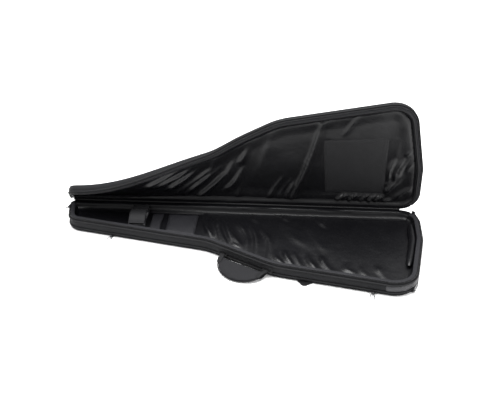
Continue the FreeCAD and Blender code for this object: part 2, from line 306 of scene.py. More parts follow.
def relax_cloth(points, rest, quads, pinned, frames):
    """Cloth held at the pinned points settles towards its rest lengths, so slack turns into folds."""
    mesh = bpy.data.meshes.new("cloth_work")
    mesh.from_pydata([tuple(v) for v in points], [], quads)
    obj = add_object("cloth_work", mesh)
    obj.shape_key_add(name="Basis")
    key = obj.shape_key_add(name="rest")
    key.data.foreach_set("co", np.asarray(rest, np.float32).ravel())
    key.value = 0.0
    group = obj.vertex_groups.new(name="pin")
    group.add([int(i) for i in np.nonzero(pinned)[0]], 1.0, "REPLACE")
    mod = cloth(obj, 0.15, 12.0, 0.6)
    st = mod.settings
    st.tension_damping = 8
    st.compression_damping = 8
    st.shear_damping = 8
    st.bending_damping = 0.8
    st.air_damping = 3
    st.vertex_group_mass = "pin"
    st.rest_shape_key = key
    mod.collision_settings.use_collision = False
    out = settled(obj, mod, frames)
    bpy.data.objects.remove(obj, do_unlink=True)
    bpy.data.meshes.remove(mesh)
    return out


# ---- materials
def set_inputs(node, **inputs):
    for key, value in inputs.items():
        node.inputs[key.replace("_", " ")].default_value = value
    return node


def node_of(nt, kind, **inputs):
    return set_inputs(nt.nodes.new(kind), **inputs)


def principled(name):
    """New material, with what its nodes are built from."""
    mat = bpy.data.materials.new(name)
    mat.use_nodes = True
    nt = mat.node_tree
    return mat, nt, nt.nodes["Principled BSDF"], nt.nodes.new("ShaderNodeTexCoord").outputs["Object"]


def noise_of(nt, where, **inputs):
    n = node_of(nt, "ShaderNodeTexNoise", **inputs)
    nt.links.new(where, n.inputs["Vector"])
    return n.outputs["Fac"]


def mottle(nt, bsdf, fac, dark, light, smoothest, roughest):
    """Colour and roughness both drift with the same noise."""
    tint = nt.nodes.new("ShaderNodeMix")
    tint.data_type = "RGBA"
    set_inputs(tint, A=(*dark, 1), B=(*light, 1))
    nt.links.new(fac, tint.inputs["Factor"])
    nt.links.new(tint.outputs["Result"], bsdf.inputs["Base Color"])
    gloss = node_of(nt, "ShaderNodeMapRange", To_Min=smoothest, To_Max=roughest)
    nt.links.new(fac, gloss.inputs["Value"])
    nt.links.new(gloss.outputs["Result"], bsdf.inputs["Roughness"])


def fabric(name, color, rough, weave=900.0, depth=0.15, sheen=0.0, spec=0.5, coat=0.0, twill=False):
    """Woven cloth: fine weave and soft cloudiness as bump, faint wear in the colour and gloss."""
    mat, nt, bsdf, where = principled(name)
    set_inputs(bsdf, Specular_IOR_Level=spec, Sheen_Weight=sheen, Sheen_Roughness=0.4,
               Coat_Weight=coat, Coat_Roughness=0.35)
    cloud = noise_of(nt, where, Scale=14.0, Detail=5.0, Roughness=0.6)
    mottle(nt, bsdf, cloud, [c * 0.75 for c in color], [c * 1.25 for c in color], rough - 0.07, rough + 0.07)
    warp = node_of(nt, "ShaderNodeTexWave", Scale=weave, Distortion=0.6)
    weft = node_of(nt, "ShaderNodeTexWave", Scale=weave, Distortion=0.6)
    warp.bands_direction = "X"
    weft.bands_direction = "DIAGONAL" if twill else "Z"
    for t in (warp, weft):
        nt.links.new(where, t.inputs["Vector"])
    both = nt.nodes.new("ShaderNodeMath")
    both.operation = "ADD"
    nt.links.new(warp.outputs["Fac"], both.inputs[0])
    nt.links.new(weft.outputs["Fac"], both.inputs[1])
    bump = node_of(nt, "ShaderNodeBump", Strength=depth, Distance=0.0006)
    nt.links.new(both.outputs["Value"], bump.inputs["Height"])
    soft = noise_of(nt, where, Scale=60.0, Detail=3.0)
    bump2 = node_of(nt, "ShaderNodeBump", Strength=0.25, Distance=0.002)
    nt.links.new(soft, bump2.inputs["Height"])
    nt.links.new(bump.outputs["Normal"], bump2.inputs["Normal"])
    nt.links.new(bump2.outputs["Normal"], bsdf.inputs["Normal"])
    return mat


def metal(name, color, rough, metallic=1.0):
    """Scuffed metal or enamel. It is only painted on CAD pieces."""
    mat, nt, bsdf, where = principled(name)
    bsdf.inputs["Metallic"].default_value = metallic
    scuff = noise_of(nt, where, Scale=220.0, Detail=4.0)
    mottle(nt, bsdf, scuff, [c * 0.7 for c in color], [c * 1.2 for c in color], rough - 0.08, rough + 0.1)
    return mat


SHELL = fabric("shell_cloth", (0.008, 0.008, 0.0092), 0.72, weave=420, depth=0.35,
        sheen=0.02, spec=0.2)
SHELL_TRIM = fabric("trim_cloth", (0.006, 0.006, 0.007), 0.6, weave=700, depth=0.25, spec=0.25)
LINING = fabric("lining_cloth", (0.0022, 0.0022, 0.003), 0.36, weave=900, depth=0.06,
        spec=0.34)
TAPE = fabric("tape_cloth", (0.013, 0.013, 0.0155), 0.66, weave=600, depth=0.35, spec=0.25)
COIL = fabric("coil_plastic", (0.006, 0.006, 0.007), 0.42, weave=500, depth=0.8, spec=0.3)
PAD = fabric("pad_cloth", (0.009, 0.009, 0.0105), 0.7, weave=500, depth=0.25, sheen=0.02,
        spec=0.2)
CUSHION = fabric("cushion_cover", (0.010, 0.010, 0.012), 0.45, weave=900, depth=0.1, spec=0.4)
STRAP = fabric("strap_cloth", (0.011, 0.011, 0.0125), 0.62, weave=420, depth=0.3,
        sheen=0.03, spec=0.3)
THREAD = fabric("thread", (0.022, 0.022, 0.025), 0.5, weave=2200, depth=0.3, spec=0.3)
PATCH_MAT = fabric("patch_vinyl", (0.0075, 0.0075, 0.0085), 0.6, weave=260, depth=0.3,
        spec=0.3)
WEBBING = fabric("webbing_cloth", (0.009, 0.009, 0.010), 0.6, weave=300, depth=0.6, spec=0.25,
        twill=True)
GUARD = fabric("guard_coating", (0.016, 0.016, 0.019), 0.42, weave=250, depth=0.3, spec=0.4,
        coat=0.15)
HOOKS = fabric("hook_pile", (0.008, 0.008, 0.009), 0.9, weave=800, depth=0.9, spec=0.2)
PLASTIC = fabric("buckle_plastic", (0.012, 0.012, 0.012), 0.45, weave=120, depth=0.05)
WIRE = metal("puller_wire", (0.16, 0.16, 0.165), 0.38)
SLIDER = metal("slider_enamel", (0.03, 0.03, 0.032), 0.4, 0.6)


def paint(node, mat):
    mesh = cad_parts[node].data
    mesh.materials.clear()
    mesh.materials.append(mat)


# ---- soft pieces made from their solid forms
PUFF_PRESSURE = 4.0
PUFF_FRAMES = 18


def cad_mesh(node):
    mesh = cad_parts[node].data.copy()
    mesh.materials.clear()
    return mesh


def evaluated_mesh(obj):
    bpy.context.view_layer.update()
    dg = bpy.context.evaluated_depsgraph_get()
    return bpy.data.meshes.new_from_object(obj.evaluated_get(dg), depsgraph=dg)


def coords(mesh):
    out = np.zeros(len(mesh.vertices) * 3, np.float32)
    mesh.vertices.foreach_get("co", out)
    return out.reshape(-1, 3).astype(float)


def set_coords(mesh, co):
    mesh.vertices.foreach_set("co", co.astype(np.float32).ravel())
    mesh.update()


def relaxed(mesh, passes, shrink):
    """Round the form off by averaging neighbours, then draw it in along its normals."""
    co = coords(mesh)
    edges = np.array([e.vertices[:] for e in mesh.edges])
    count = np.zeros(len(co))
    np.add.at(count, edges.ravel(), 1)
    for _ in range(passes):
        total = np.zeros_like(co)
        np.add.at(total, edges[:, 0], co[edges[:, 1]])
        np.add.at(total, edges[:, 1], co[edges[:, 0]])
        co = 0.5 * co + 0.5 * total / count[:, None]
    set_coords(mesh, co)
    normals = np.array([v.normal[:] for v in mesh.vertices])
    return co - normals * shrink


def puff(name, node, mat, body, voxel, cap, shrink=0.0015, passes=2, shape=None):
    """Padded piece: its solid form remeshed and blown up as cloth, no point moving further than the cap."""
    obj = add_object(name, cad_mesh(node))
    remesh = obj.modifiers.new("remesh", "REMESH")
    remesh.mode = "VOXEL"
    remesh.voxel_size = voxel
    mesh = evaluated_mesh(obj)
    obj.modifiers.clear()
    obj.data = mesh
    start = relaxed(mesh, passes, shrink)
    set_coords(mesh, start)
    mod = cloth(obj, 0.2, 8.0, 0.4)
    mod.settings.use_pressure = True
    mod.settings.uniform_pressure_force = PUFF_PRESSURE
    move = settled(obj, mod, PUFF_FRAMES) - start
    obj.modifiers.clear()
    length = np.linalg.norm(move, axis=1, keepdims=True)
    start = start + move * np.minimum(1, cap / np.maximum(length, 1e-9))
    if shape is not None:
        start = shape(start)
    set_coords(mesh, start)
    sub = obj.modifiers.new("sub", "SUBSURF")
    sub.levels = 1
    final = evaluated_mesh(obj)
    obj.modifiers.clear()
    obj.data = final
    final.materials.clear()
    final.materials.append(mat)
    final.polygons.foreach_set("use_smooth", [True] * len(final.polygons))
    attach(obj, body)
    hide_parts(node)
    return obj


def ribbon(points, sides, widths, thick, sections=12):
    """Strap along a path in millimetres, with a rounded cross-section. The side is one vector or one a point,
    and so is the width."""
    pts = np.asarray(points, float)
    sides = np.broadcast_to(np.asarray(sides, float), pts.shape)
    widths = np.broadcast_to(widths, len(pts))
    tangent = np.gradient(pts, axis=0)
    tangent /= np.linalg.norm(tangent, axis=1, keepdims=True)
    normal = np.cross(tangent, sides)
    normal /= np.linalg.norm(normal, axis=1, keepdims=True)
    verts = []
    n = len(pts)
    for i in range(n):
        for k in range(sections):
            a = 2 * math.pi * k / sections
            c, s = math.cos(a), math.sin(a)
            across = math.copysign(abs(c) ** 0.35, c) * widths[i] / 2
            up = math.copysign(abs(s) ** 0.7, s) * thick / 2
            verts.append(pts[i] + sides[i] * across + normal[i] * up)
    faces = lattice(n, sections, close_cols=True)
    faces.append(tuple(range(sections))[::-1])
    faces.append(tuple((n - 1) * sections + k for k in range(sections)))
    return verts, faces


def smooth_path(points, per):
    """Catmull-Rom walk through given points."""
    p = np.asarray(points, float)
    p = np.vstack([2 * p[0] - p[1], p, 2 * p[-1] - p[-2]])
    out = []
    for i in range(1, len(p) - 2):
        for k in range(per):
            t = k / per
            out.append(0.5 * (2 * p[i] + (p[i + 1] - p[i - 1]) * t + (2 * p[i - 1] - 5 * p[i] + 4 * p[i + 1]
                    - p[i + 2]) * t ** 2 + (3 * p[i] - p[i - 1] - 3 * p[i + 1] + p[i + 2]) * t ** 3))
    out.append(p[-2])
    return np.array(out)


def merge(parts):
    verts, faces = [], []
    for v, f in parts:
        base = len(verts)
        verts.extend(v)
        faces.extend([tuple(base + k for k in face) for face in f])
    return verts, faces


def stitches(name, rows, pitch, mat, place, length=2.6, radius=0.32, across=False):
    """Short sunk capsules along rows of (points, outward normals): thread, or teeth when they lie across."""
    verts, faces = [], []
    for pts, normals in rows:
        pts = np.asarray(pts, float)
        normals = np.asarray(normals, float)
        seg = np.linalg.norm(np.diff(pts, axis=0), axis=1)
        run = np.concatenate([[0], np.cumsum(seg)])
        stops = np.arange(pitch, run[-1] - pitch, pitch)
        at = np.stack([np.interp(stops, run, pts[:, k]) for k in range(3)], 1)
        ahead = np.stack([np.interp(stops + 0.5, run, pts[:, k]) for k in range(3)], 1)
        up = np.stack([np.interp(stops, run, normals[:, k]) for k in range(3)], 1)
        along = ahead - at
        along /= np.linalg.norm(along, axis=1, keepdims=True)
        if across:
            along = np.cross(along, up)
        side = np.cross(along, up)
        for c, u, n, s in zip(at, along, up, side):
            base = len(verts)
            for t, w in ((-0.5, 0.4), (-0.3, 1.0), (0.3, 1.0), (0.5, 0.4)):
                mid = c + u * length * t + n * (radius * (0.6 if w == 1.0 else 0.0))
                verts.extend([mid + s * radius * w, mid + n * radius * w, mid - s * radius * w])
            faces.extend(tuple(base + k for k in quad) for quad in lattice(4, 3))
    return new_mesh(name, place(verts), faces, mat)


def edge_row(inset, height, lean):
    """One row along the free sides at an inset and height, with normals of the given (outward, up) lean."""
    index = np.nonzero(free_side(POS))[0]
    start = int(np.argmax(np.diff(index))) + 1 if np.diff(index).max() > 1 else 0
    index = np.concatenate([index[start:], index[:start]])
    p = POS[index] - NOR[index] * inset
    pts = np.column_stack([p, np.full(len(p), height)])
    out, up = lean
    normals = np.column_stack([NOR[index] * out, np.full(len(p), up)])
    return [(pts, normals / np.linalg.norm(normals, axis=1, keepdims=True))]


def rounded_outline(points, radius, step=3.0):
    """Closed outline of straight sides with rounded corners, walked evenly."""
    pts = [np.array(p, float) for p in points]
    out = []
    for i in range(len(pts)):
        a, b, c = pts[i - 1], pts[i], pts[(i + 1) % len(pts)]
        u = (a - b) / np.linalg.norm(a - b)
        v = (c - b) / np.linalg.norm(c - b)
        r = min(radius, 0.45 * np.linalg.norm(a - b), 0.45 * np.linalg.norm(c - b))
        for t in np.linspace(0, 1, 7):
            out.append((1 - t) ** 2 * (b + u * r) + 2 * t * (1 - t) * b + t * t * (b + v * r))
        gap = np.linalg.norm((c - v * r) - (b + v * r))
        for k in range(1, max(1, int(gap / step))):
            out.append(b + v * r + (c - b - 2 * v * r) * k / max(1, int(gap / step)))
    return np.array(out)


def dome(outline, rings, height):
    """Sheet of rings drawn in from an outline to its middle. height(point, share inwards) is its level."""
    centre = outline.mean(0)
    verts = []
    n = len(outline)
    for r in range(rings):
        share = r / rings
        for p in outline:
            q = p + (centre - p) * share
            verts.append((q[0], q[1], height(q, share)))
    verts.append((centre[0], centre[1], height(centre, 1.0)))
    last = (rings - 1) * n
    fan = [(last + k, last + (k + 1) % n, rings * n) for k in range(n)]
    return verts, lattice(rings, n, close_cols=True) + fan


# ---- base half
def base_wobble(s, inset, height, p):
    """Soft wall: long gentle waves, strongest at mid height, none right at the zips."""
    belly = max(0.0, math.sin(math.pi * min(1, max(0, (height - 15) / 24.0))))
    dn = belly * (1.4 + 1.9 * fbm(s / 90.0, height / 40.0, 3.1)) * (1 if inset < 6 else 0)
    dz = 0.7 * noise.noise(Vector((s / 80.0, 7.7, 0)))
    return dn, dz * min(1, height / 46)


WALL_PROFILE = [(60, 0.2), (14, 0.15), (4, 0.3), (1.0, 1.0), (0.2, 2.2), (0.0, 4.2), (0.1, 8.0),
        (0.1, 11.0), (-0.3, 15.5), (-0.8, 20), (-1.1, 25), (-1.1, 30), (-0.7, 35), (-0.1, 39), (0.1, 43),
        (0.4, 45.2), (1.4, 46.1)]
TAPE_PROFILE = [(2.9, 46.4), (3.4, 47.9), (4.2, 48.5), (5.0, 48.1), (5.8, 48.6), (9.5, 49.0), (12.6, 48.6),
        (13.4, 48.1), (14.2, 48.5), (15.6, 47.8), (16.6, 46.0)]
COIL_PROFILE = [(0.4, 46.1), (0.5, 48.2), (1.1, 49.0), (1.9, 49.2), (2.6, 48.9), (3.0, 48.0), (3.0, 46.2)]


def tube(inset, height, radius):
    return [(inset + radius * math.cos(a), height + radius * math.sin(a)) for a in circle(8)]


def build_base():
    shell = sweep("base_shell", WALL_PROFILE, on_base, SHELL, wobble=base_wobble, flip=True)
    pts, quads, _ = grid_region(50, 30)
    under = new_mesh("base_underside", on_base(np.column_stack([pts, np.full(len(pts), 0.25)])),
            turned(quads), SHELL)
    cap = sweep("base_rim_cap", [(1.2, 46.0), (3, 46.2), (8, 46.25), (13, 46.2), (16.6, 45.6)], on_base,
            LINING, wobble=base_wobble, flip=True)
    tape = sweep("base_zip_tape_cloth", TAPE_PROFILE, on_base, TAPE, keep=free_side, wobble=base_wobble,
            flip=True)
    coil = sweep("base_zip_coil_ridge", COIL_PROFILE, on_base, COIL, keep=free_side, wobble=base_wobble,
            flip=True)
    teeth = stitches("base_zip_teeth", edge_row(ZIP_LINE, 49.1, (0, 1)), TOOTH_PITCH, COIL, on_base, 2.4,
            0.75, across=True)
    seam = stitches("base_rim_stitching", edge_row(5.0, 48.2, (0, 1)) + edge_row(13.4, 48.2, (0, 1)), 4.6,
            THREAD, on_base)
    band = sweep("strap_zip_band", [(0.1, 2.0), (-0.5, 2.8), (-0.6, 4.0), (-0.6, 8.0), (-0.5, 9.4),
            (0.1, 10.2)], on_base, TAPE, keep=free_side, flip=True)
    ridge = sweep("strap_zip_ridge", [(-0.5, 4.3), (-1.2, 4.7), (-1.6, 6.0), (-1.2, 7.3), (-0.5, 7.7)],
            on_base, COIL, keep=free_side, flip=True)
    teeth2 = stitches("strap_zip_teeth", edge_row(-1.4, 6.0, (1, 0)), TOOTH_PITCH, COIL, on_base, 2.6, 0.6,
            across=True)
    for o in (shell, under, cap, tape, coil, teeth, seam, band, ridge, teeth2):
        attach(o, "base")
    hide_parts("base_outer_wall", "base_wall_foam", "base_back_panel")
    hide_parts("strap_cover_panel")
    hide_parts("base_zip_tape")
    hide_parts("base_zip_coil")
    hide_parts("strap_zip_tape")
    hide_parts("strap_zip_coil")
    for name, height, node in (("base_rim_welt", 40.0, "base_rim_piping"),
            ("base_bottom_welt", 13.5, "base_bottom_piping")):
        o = sweep(name, tube(-2.2, height, 2.3), on_base, SHELL_TRIM, keep=free_side, wobble=base_wobble,
                closed=True)
        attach(o, "base")
        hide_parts(node)

    def guard_zone(p):
        return (p[:, 0] > 1040) & (p[:, 1] > 330)

    def guard_wobble(s, inset, height, p):
        dn, dz = base_wobble(s, 0, height, p)
        for crease in (0.35, 0.62):
            at = GUARD_RUN[0] + (GUARD_RUN[1] - GUARD_RUN[0]) * crease + (height - 26) * 0.8
            dn += 1.5 * math.exp(-((s - at) / 4.0) ** 2)
        edge = min(s - GUARD_RUN[0], GUARD_RUN[1] - s)
        return dn - 1.6 * max(0.0, 1 - edge / 4.0), dz

    run = RUN[guard_zone(POS)]
    GUARD_RUN = (run.min(), run.max())
    guard = sweep("corner_scuff_guard", [(0.6, 15.4), (-1.2, 16.2), (-2.1, 19), (-2.5, 25), (-2.5, 30),
            (-2.1, 34), (-1.4, 37.4), (0.6, 38.4)], on_base, GUARD, keep=guard_zone, wobble=guard_wobble,
            flip=True)
    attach(guard, "base")
    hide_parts("corner_guard")

    def lining_wobble(s, inset, height, p):
        if inset <= 16.9:
            return 0.0, 0.0
        far = p[1] < 20
        ripple = fbm(s / (75.0 if far else 26.0), height / (9.0 if far else 30.0), 9.0)
        return (2.6 if far else 0.9) * ripple, 0.0

    wall = sweep("base_lining_wall", [(16.2, 46.2), (16.9, 44.5), (17.4, 41.5), (17.9, 38), (18.4, 35),
            (19.2, 32), (20.5, 29.6), (23, 27.6), (30, 26.4)], on_base, LINING, wobble=lining_wobble,
            flip=True)
    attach(wall, "base")
    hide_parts("base_lining")

    def drape_wobble(s, inset, height, p):
        swell = math.exp(-((p[0] - 360) / 150.0) ** 2)
        long_wave = noise.noise(Vector((p[0] / 70.0, inset / 18.0,
                6.1))) + 0.5 * noise.noise(Vector((p[0] / 24.0, inset / 9.0, 2.3)))
        free = smooth((inset + 0.5) / 4.0) * smooth((36 - inset) / 8.0)
        return float(free * (1.6 * long_wave)), float(free * (1.3 * long_wave
                + (3.5 * swell if inset > 15 else 0.0)))

    drape = sweep("base_hinge_drape", [(-0.4, 46.9), (2, 47.3), (7, 47.5), (12, 47.2), (16, 45.4),
            (18.4, 42), (19.6, 38), (21, 34), (24, 30.4), (29, 28.2), (37, 27.0)], on_base, LINING,
            keep=hinge_side, wobble=drape_wobble, flip=True)
    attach(drape, "base")

    verts = []
    xs = np.arange(14, 1130, 6.0)
    for x in xs:
        taper = min(1, (x - 8) / 12.0, (1134 - x) / 12.0)
        for a in circle(10):
            r = 4.2 * max(0.2, taper) + 0.5 * noise.noise(Vector((x / 40.0, a, 1)))
            verts.append((x, -r * math.cos(a), HINGE_Z + r * math.sin(a)))
    roll = new_mesh("hinge_roll", on_base(verts), turned(lattice(len(xs), 10, close_cols=True)), LINING)
    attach(roll, "base")
    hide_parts("hinge_welt")


# ---- slack linings
def fold_field(xw, groups, seed):
    """Height of the folds at each plan point. A group runs from its first fold to its last:
    count, first fold's two ends, last fold's two ends, bow sideways, width, height."""
    out = np.zeros(len(xw))
    for g, (count, first, last, bow, width, height) in enumerate(groups):
        for k in range(count):
            t = k / max(1, count - 1)
            jit = [noise.noise(Vector((seed + g * 7.3, k * 3.1 + 0.37, m * 5.7))) for m in range(8)]
            t = t + 0.45 * jit[5] / max(1, count - 1)
            a = np.array(first[0]) * (1 - t) + np.array(last[0]) * t + np.array(jit[:2]) * width * 1.2
            b = np.array(first[1]) * (1 - t) + np.array(last[1]) * t + np.array(jit[2:4]) * width * 1.4
            u = b - a
            length = np.linalg.norm(u)
            u = u / length
            v = np.array([-u[1], u[0]])
            along = (xw - a) @ u / length
            off = (xw - a) @ v - (bow + jit[4] * width) * np.sin(math.pi * np.clip(along, 0, 1) * 1.25)
            w = width * (1 + 0.35 * jit[5])
            crest = np.where(off > 0, np.exp(-(off / (0.55 * w)) ** 2),
                    np.exp(-np.abs(off / (1.35 * w)) ** 1.5))
            fade = smooth((along + 0.25) / 0.5) * smooth((1.3 - along) / 0.7)
            tall = height * (1 + 0.9 * jit[6]) * (1 + 0.25 * np.sin(5 * along + 9 * jit[7]))
            out = np.maximum(out, tall * crest * fade)
    return out


def lining_cloth(step, inset, groups, seed, soft, calm):
    """Slack lining over the plan: plan points, faces, height off its backing, distance in from the edge."""
    pts, quads, dist = grid_region(inset, step)
    still = calm(pts)
    edge = smooth((dist - inset + 1) / 9.0)
    start = fold_field(pts, groups, seed)
    start += soft * np.array([max(0.0, 0.5 + fbm(p[0] / 130.0, p[1] / 90.0, seed)) for p in pts])
    start = start * edge * (1 - still)
    p0 = np.column_stack([pts, start]) / 1000
    grow = pts + 0.012 * (pts - pts.mean(0))
    rest = np.column_stack([grow, start * 1.25]) / 1000
    pinned = (dist < inset + step * 1.2) | (still > 0.9)
    out = relax_cloth(p0, rest, quads, pinned, SETTLE_FRAMES) * 1000
    return out[:, :2], quads, np.clip(out[:, 2], -0.8, 14.0), dist


BASE_FOLDS = [
    (5, ((474, 60), (506, 186)), ((556, 84), (600, 236)), 5, 9, 9.5),
    (3, ((590, 96), (618, 244)), ((668, 120), (700, 286)), -8, 10, 7.5),
    (3, ((480, 130), (500, 182)), ((560, 168), (596, 228)), 4, 5, 5.0),
    (5, ((700, 226), (728, 306)), ((856, 256), (886, 336)), 4, 9, 6.5),
    (3, ((930, 288), (944, 348)), ((1026, 300), (1048, 366)), 3, 11, 4.0),
    (3, ((700, 60), (790, 230)), ((960, 70), (1010, 240)), 16, 30, 4.0),
    (4, ((500, 24), (520, 66)), ((860, 24), (890, 84)), 4, 12, 4.5),
]
LID_FOLDS = [
    (6, ((276, 96), (384, 156)), ((449, 22), (547, 131)), 4, 10, 10.0),
    (3, ((452, 78), (512, 176)), ((535, 50), (590, 140)), -4, 9, 8.5),
    (2, ((587, 185), (612, 238)), ((568, 23), (596, 96)), 3, 8, 6.0),
    (1, ((752, 22), (856, 326)), ((752, 22), (856, 326)), -9, 9, 12.5),
    (1, ((786, 60), (822, 250)), ((786, 60), (822, 250)), 6, 7, 6.0),
    (3, ((690, 22), (726, 101)), ((740, 22), (765, 92)), 3, 7, 7.5),
    (8, ((900, 12), (946, 58)), ((1046, 12), (1118, 112)), 2, 5, 11.0),
    (2, ((1060, 14), (1096, 40)), ((1100, 30), (1150, 80)), 2, 8, 6.0),
    (3, ((1072, 112), (1086, 190)), ((1104, 118), (1132, 196)), 3, 7, 8.0),
    (2, ((1116, 205), (1146, 250)), ((1138, 136), (1156, 184)), 2, 7, 6.0),
    (1, ((1092, 226), (1116, 372)), ((1092, 226), (1116, 372)), 4, 36, 8.0),
    (2, ((926, 282), (962, 352)), ((1072, 262), (1090, 306)), 3, 7, 5.0),
    (1, ((655, 150), (700, 290)), ((655, 150), (700, 290)), 5, 26, 3.0),
]


def plan_area(quads, step):
    return len(quads) * step * step / 1e6


def build_base_lining():
    def calm(p):
        return smooth((472 - p[:, 0]) / 50.0) * 0.95

    pts, quads, lift, _ = lining_cloth(BASE_CELL, 21, BASE_FOLDS, 2.0, 1.2, calm)
    floor = new_mesh("base_lining_floor", on_base(np.column_stack([pts, FLOOR_LEVEL + lift])), quads, LINING)
    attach(floor, "base")
    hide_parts("base_floor_foam")
    plan_area(quads, BASE_CELL) * 1.02


# ---- lid half
def lid_wobble(s, inset, h, p):
    belly = max(0.0, math.sin(math.pi * min(1, max(0, (h - 12) / 18.0))))
    dn = belly * (1.0 + 1.5 * fbm(s / 80.0, h / 30.0, 8.3)) * (1 if inset < 8 else 0)
    return dn, 0.0


def lid_h(profile):
    """The base's rim profile turned over for the lid: heights become distances from the closing plane."""
    return [(inset, HINGE_Z - height) for inset, height in profile]


def build_lid():
    wall = [(16.6, 4.4), (12, 3.9), (5, 3.8), (1.6, 4.0), (0.3, 5.0), (0.1, 8), (-0.2, 12.5), (-0.7, 17),
            (-0.9, 21), (-0.6, 25), (0.6, 28), (3.5, 29.8), (9, 30.6), (18, 31.0), (34, 31.3)]
    shell = sweep("lid_shell_wall", wall, on_lid, SHELL, wobble=lid_wobble, flip=True)
    pts, quads, dist = grid_region(26, 9)
    puffed = 31.0 + 1.8 * smooth((dist - 20) / 90.0)
    puffed += np.array([1.5 * fbm(p[0] / 120.0, p[1] / 90.0, 4.4) for p in pts]) * smooth((dist - 26) / 40.0)
    back = new_mesh("lid_shell_back", on_lid(np.column_stack([pts, puffed])), turned(quads), SHELL)
    tape = sweep("lid_zip_tape_cloth", lid_h(TAPE_PROFILE[:5]) + [(8.4, 1.0), (9.2, 2.4)], on_lid, TAPE,
            keep=free_side)
    coil = sweep("lid_zip_coil_ridge", lid_h(COIL_PROFILE), on_lid, COIL, keep=free_side)
    teeth = stitches("lid_zip_teeth", edge_row(ZIP_LINE, 0.9, (0, -1)), TOOTH_PITCH, COIL, on_lid, 2.4,
            0.75, across=True)
    seam = stitches("lid_rim_stitching", edge_row(5.0, 1.8, (0, -1)) + edge_row(7.8, 1.0, (0, -1)), 4.6,
            THREAD, on_lid)
    welt = sweep("lid_rim_welt", tube(-2.2, 10.0, 2.3), on_lid, SHELL_TRIM, keep=free_side,
            wobble=lid_wobble, closed=True)
    back_welt = sweep("lid_back_welt", tube(3.4, 30.2, 1.9), on_lid, SHELL_TRIM, closed=True)
    seam2 = stitches("lid_back_stitching", edge_row(9.0, 31.0, (0, 1)), 5.0, THREAD, on_lid)

    def lining_wobble(s, inset, h, p):
        return (0.9 * fbm(s / 24.0, h / 30.0, 5.0) if inset > 17 else 0.0), 0.0

    wall_lining = sweep("lid_lining_wall", [(8.2, 3.6), (9.4, 2.4), (12, 2.3), (14.6, 3.3), (16.8, 5.6),
            (18.8, 8.4), (22, 10.8), (28, 12.2), (34, 12.8)], on_lid, LINING, wobble=lining_wobble)

    def drape_wobble(s, inset, h, p):
        wave = noise.noise(Vector((p[0] / 60.0, inset / 16.0,
                14.1))) + 0.5 * noise.noise(Vector((p[0] / 22.0, inset / 8.0, 3.3)))
        free = smooth((inset + 0.5) / 4.0) * smooth((22 - inset) / 6.0)
        return float(free * 1.4 * wave), float(free * 1.1 * wave)

    drape = sweep("lid_hinge_drape", [(-0.4, 2.9), (2, 2.3), (7, 2.1), (11, 2.8), (14.5, 5.4), (17, 8.8),
            (19, 11.2), (21.5, 13.0)], on_lid, LINING, keep=hinge_side, wobble=drape_wobble)
    x0, x1, w0, w1 = PATCH

    def calm(p):
        dx = np.maximum(x0 - p[:, 0], p[:, 0] - x1)
        dw = np.maximum(w0 - p[:, 1], p[:, 1] - w1)
        neck = smooth((262 - p[:, 0]) / 40.0) * 0.85
        return np.maximum(neck, 1 - smooth((np.maximum(dx, dw) + 1) / 5.0))

    pts, quads, lift, dist = lining_cloth(LID_CELL, 19, LID_FOLDS, 11.0, 0.9, calm)
    depth = LID_BACKING - 4.6 * smooth((64 - dist) / 42.0) * (1 - calm(pts)) - lift
    lining = new_mesh("lid_lining_cloth", on_lid(np.column_stack([pts, depth])), quads, LINING)
    plan_area(quads, LID_CELL) * 1.03

    cells = 34
    verts = []
    for i in range(cells):
        for j in range(cells):
            a, b = i / (cells - 1), j / (cells - 1)
            x = (x0 - 6 + 16 * (1 - b)) * (1 - a) + (x1 - 3 + 3 * (1 - b)) * a
            w = (w0 + 3) * (1 - b) + (w1 - 4 + 16 * a) * b
            rim = min(a, 1 - a, b, 1 - b)
            rise = 2.2 + 0.7 * fbm(x / 60.0, w / 60.0, 2.2) + 0.8 * math.sin(math.pi * a) * math.sin(math.pi
                    * b)
            verts.append((x, w, LID_BACKING - rise + (1.8 if rim == 0 else 0)))
    patch = new_mesh("protector_patch_cloth", on_lid(verts), turned(lattice(cells, cells)), PATCH_MAT)
    border = rounded_outline([(x0 + 15, w0 + 7), (x1 - 6, w0 + 7), (x1 - 8, w1 + 6), (x0 + 1, w1 - 6)], 6)
    loop = np.vstack([border, border[:1]])
    row = (np.column_stack([loop, np.full(len(loop), 13.7)]), same((0.0, 0.0, -1.0), loop))
    patch_seam = stitches("protector_patch_stitching", [row], 5.0, THREAD, on_lid)

    for o in (shell, back, tape, coil, teeth, seam, welt, back_welt, seam2, wall_lining, drape, lining):
        ride_lid(o)
    for o in (patch, patch_seam):
        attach(o, "lid")
    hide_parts("lid_side_wall", "lid_neck_side_wall", "lid_foam_tray", "lid_neck_foam_tray")
    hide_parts("lid_outer_panel", "lid_neck_outer_panel")
    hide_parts("lid_zip_tape", "lid_neck_zip_tape")
    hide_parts("lid_zip_coil", "lid_neck_zip_coil")
    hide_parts("lid_rim_piping", "lid_neck_rim_piping")
    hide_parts("lid_lining", "lid_neck_lining")
    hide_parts("lid_protector_patch")


